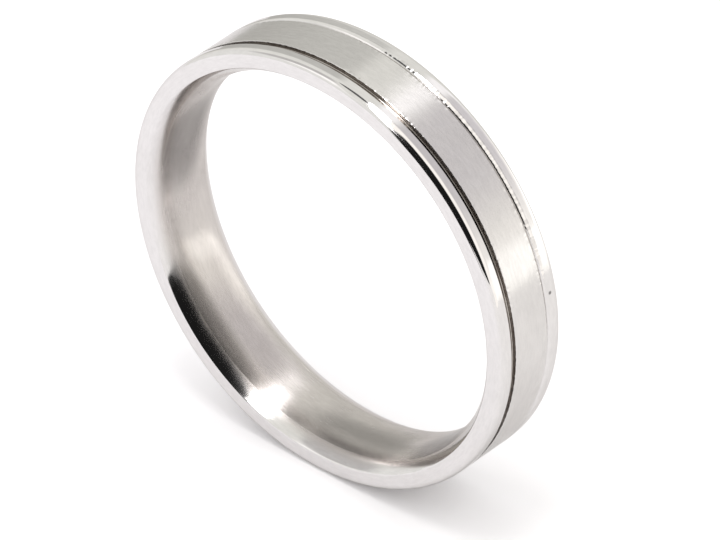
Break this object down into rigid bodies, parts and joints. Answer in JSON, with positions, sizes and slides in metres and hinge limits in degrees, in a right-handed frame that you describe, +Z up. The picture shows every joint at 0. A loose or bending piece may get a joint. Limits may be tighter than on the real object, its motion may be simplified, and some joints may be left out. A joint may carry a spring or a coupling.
{
  "type": "wedding band",
  "caption": "Flat white-metal wedding band with a satin centre between two fine grooves, polished rounded rims and a comfort-fit bore.",
  "frame": {"origin": "centre of the band, on its axis and midway between its side faces", "axes": "Y along the band's axis (the finger's direction), front rim towards -Y; +Z up with the band standing upright on its edge"},
  "size_m": [0.0216, 0.004, 0.0216],
  "materials": {
    "bore_metal": "polished, with fine marks round the bore",
    "satin_metal": "satin",
    "polished_metal": "polished"
  },
  "bodies": {
    "root": {"comfort_fit_sleeve": "bore_metal", "satin_centre_band": "satin_metal", "front_rim": "polished_metal", "back_rim": "polished_metal"}
  },
  "joints": []
}
